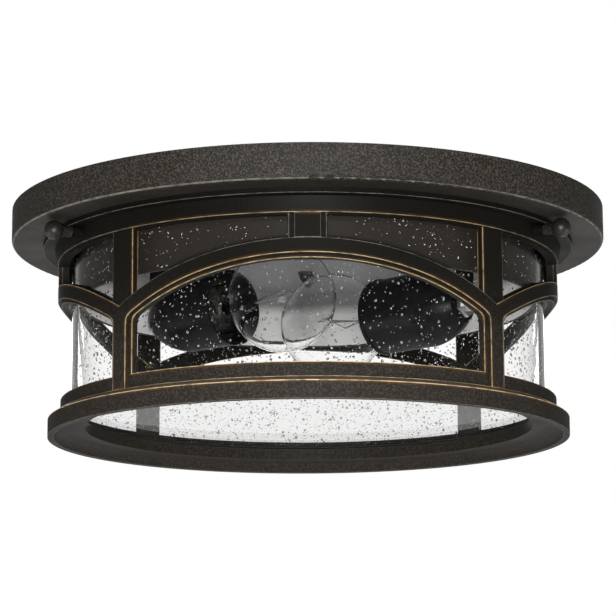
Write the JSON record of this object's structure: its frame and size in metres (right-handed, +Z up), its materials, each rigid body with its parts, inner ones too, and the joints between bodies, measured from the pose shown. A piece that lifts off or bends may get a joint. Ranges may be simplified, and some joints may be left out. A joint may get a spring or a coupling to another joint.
{
  "type": "outdoor ceiling light",
  "caption": "Round flush ceiling light: shallow pan, arched cast cage round a seeded glass drum, bulbs lying under a white dish, and ball thumbscrews that free the cage.",
  "frame": {"origin": "centre of the pan's rim in the plane of the ceiling, between the strap's slots", "axes": "+Z up into the ceiling, -Y towards the picture's viewer, +X to the picture's right"},
  "size_m": [0.33, 0.33, 0.1264],
  "materials": {
    "bronze_powder_pan": "dark bronze powder coat with a fine grain",
    "bronze_powder_cage": "cast, dark bronze powder coat rubbed to gold on the edges",
    "bronze_ball": "dark bronze, satin",
    "gasket_rubber": "matt",
    "black_bushing": "matt",
    "white_enamel": "satin white enamel",
    "zinc_steel": "zinc plated",
    "green_screw": "green",
    "black_enamel": "satin black enamel",
    "black_phenolic": "moulded, half gloss",
    "nickel_shell": "plain",
    "brass_contact": "plain",
    "black_vitrite": "gloss",
    "solder_tip": "dull",
    "clear_glass": "clear",
    "seeded_glass": "clear with small air bubbles",
    "tungsten": "grey wire"
  },
  "bodies": {
    "canopy": {"canopy_pan": "bronze_powder_pan", "ceiling_gasket": "gasket_rubber", "cage_collar": "bronze_powder_pan", "drum_top_gasket": "gasket_rubber", "reflector_dish": "white_enamel", "mounting_strap": "zinc_steel", "mounting_studs": "zinc_steel", "sealing_washers": "gasket_rubber", "cap_nuts": "bronze_powder_pan", "ground_screw": "green_screw", "lead_bushing": "black_bushing", "socket_cup_left": "black_enamel", "socket_cup_right": "black_enamel", "socket_insulator_left": "black_phenolic", "socket_insulator_right": "black_phenolic", "screw_shell_left": "nickel_shell", "screw_shell_right": "nickel_shell", "centre_contact_left": "brass_contact", "centre_contact_right": "brass_contact", "socket_bracket_left": "black_enamel", "socket_bracket_right": "black_enamel", "socket_nipples": "zinc_steel", "jam_nuts": "zinc_steel", "bracket_rivets": "zinc_steel"},
    "cage": {"cage_casting": "bronze_powder_cage", "glass_drum": "seeded_glass", "glass_disc": "seeded_glass", "disc_gasket": "gasket_rubber", "drum_seat_gasket": "gasket_rubber"},
    "thumbscrew_left_body": {"thumbscrew_left": "bronze_ball"},
    "thumbscrew_right_body": {"thumbscrew_right": "bronze_ball"},
    "thumbscrew_rear_body": {"thumbscrew_rear": "bronze_ball"},
    "bulb_left": {"bulb_glass_left": "clear_glass", "bulb_cap_left": "nickel_shell", "bulb_vitrite_left": "black_vitrite", "bulb_tip_left": "solder_tip", "bulb_stem_left": "clear_glass", "bulb_filament_left": "tungsten"},
    "bulb_right": {"bulb_glass_right": "clear_glass", "bulb_cap_right": "nickel_shell", "bulb_vitrite_right": "black_vitrite", "bulb_tip_right": "solder_tip", "bulb_stem_right": "clear_glass", "bulb_filament_right": "tungsten"}
  },
  "joints": [
    {"name": "cage_drop", "type": "slide", "parent": "canopy", "child": "cage", "axis": [0, 0, -1], "range_m": [0, 0.1]},
    {"name": "thumbscrew_left_back_out", "type": "slide", "parent": "cage", "child": "thumbscrew_left_body", "axis": [-0.866, -0.5, 0], "range_m": [0, 0.005]},
    {"name": "thumbscrew_right_back_out", "type": "slide", "parent": "cage", "child": "thumbscrew_right_body", "axis": [0.866, -0.5, 0], "range_m": [0, 0.005]},
    {"name": "thumbscrew_rear_back_out", "type": "slide", "parent": "cage", "child": "thumbscrew_rear_body", "axis": [0, 1, 0], "range_m": [0, 0.005]},
    {"name": "bulb_left_unscrew", "type": "hinge", "parent": "canopy", "child": "bulb_left", "pos_m": [-0.0417, -0.0025, -0.0523], "axis": [0.7431, -0.6691, 0], "range_deg": [0, 900]},
    {"name": "bulb_right_unscrew", "type": "hinge", "parent": "canopy", "child": "bulb_right", "pos_m": [0.0417, 0.0025, -0.0573], "axis": [-0.7431, 0.6691, 0], "range_deg": [0, 900]}
  ]
}
